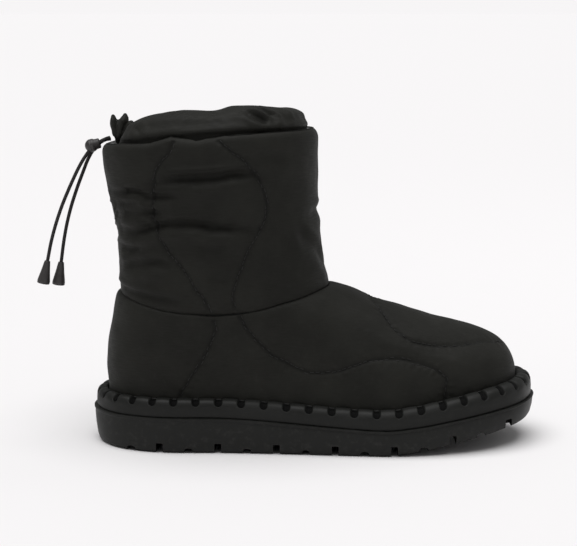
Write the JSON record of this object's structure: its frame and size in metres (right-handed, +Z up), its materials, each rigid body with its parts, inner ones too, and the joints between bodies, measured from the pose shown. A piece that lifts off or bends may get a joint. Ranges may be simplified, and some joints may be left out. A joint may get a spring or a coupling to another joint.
{
  "type": "snow boot",
  "caption": "Quilted snow boot for the right foot, with padded shaft, gathered draw-cord collar, notched welt and lugged sole.",
  "frame": {"origin": "on the floor below the middle of the boot, measured without the cord, its lock and its ends", "axes": "+X from heel to toe, +Y towards the inner side of the foot, +Z up"},
  "size_m": [0.316, 0.1053, 0.2139],
  "materials": {
    "sole_rubber": "semi-matte moulded rubber",
    "welt_rubber": "semi-matte moulded rubber",
    "insole_cloth": "brushed cloth",
    "shell_nylon": "matt quilted nylon",
    "collar_nylon": "smooth, slightly glossy nylon",
    "lock_plastic": "satin",
    "cord_weave": "woven cord"
  },
  "bodies": {
    "root": {"outsole": "sole_rubber", "welt": "welt_rubber", "insole": "insole_cloth", "foot_upper": "shell_nylon", "shaft": "shell_nylon", "collar": "collar_nylon", "cord_lock": "lock_plastic", "cord_near": "cord_weave", "cord_far": "cord_weave", "cord_end_near": "lock_plastic", "cord_end_far": "lock_plastic"}
  },
  "joints": []
}
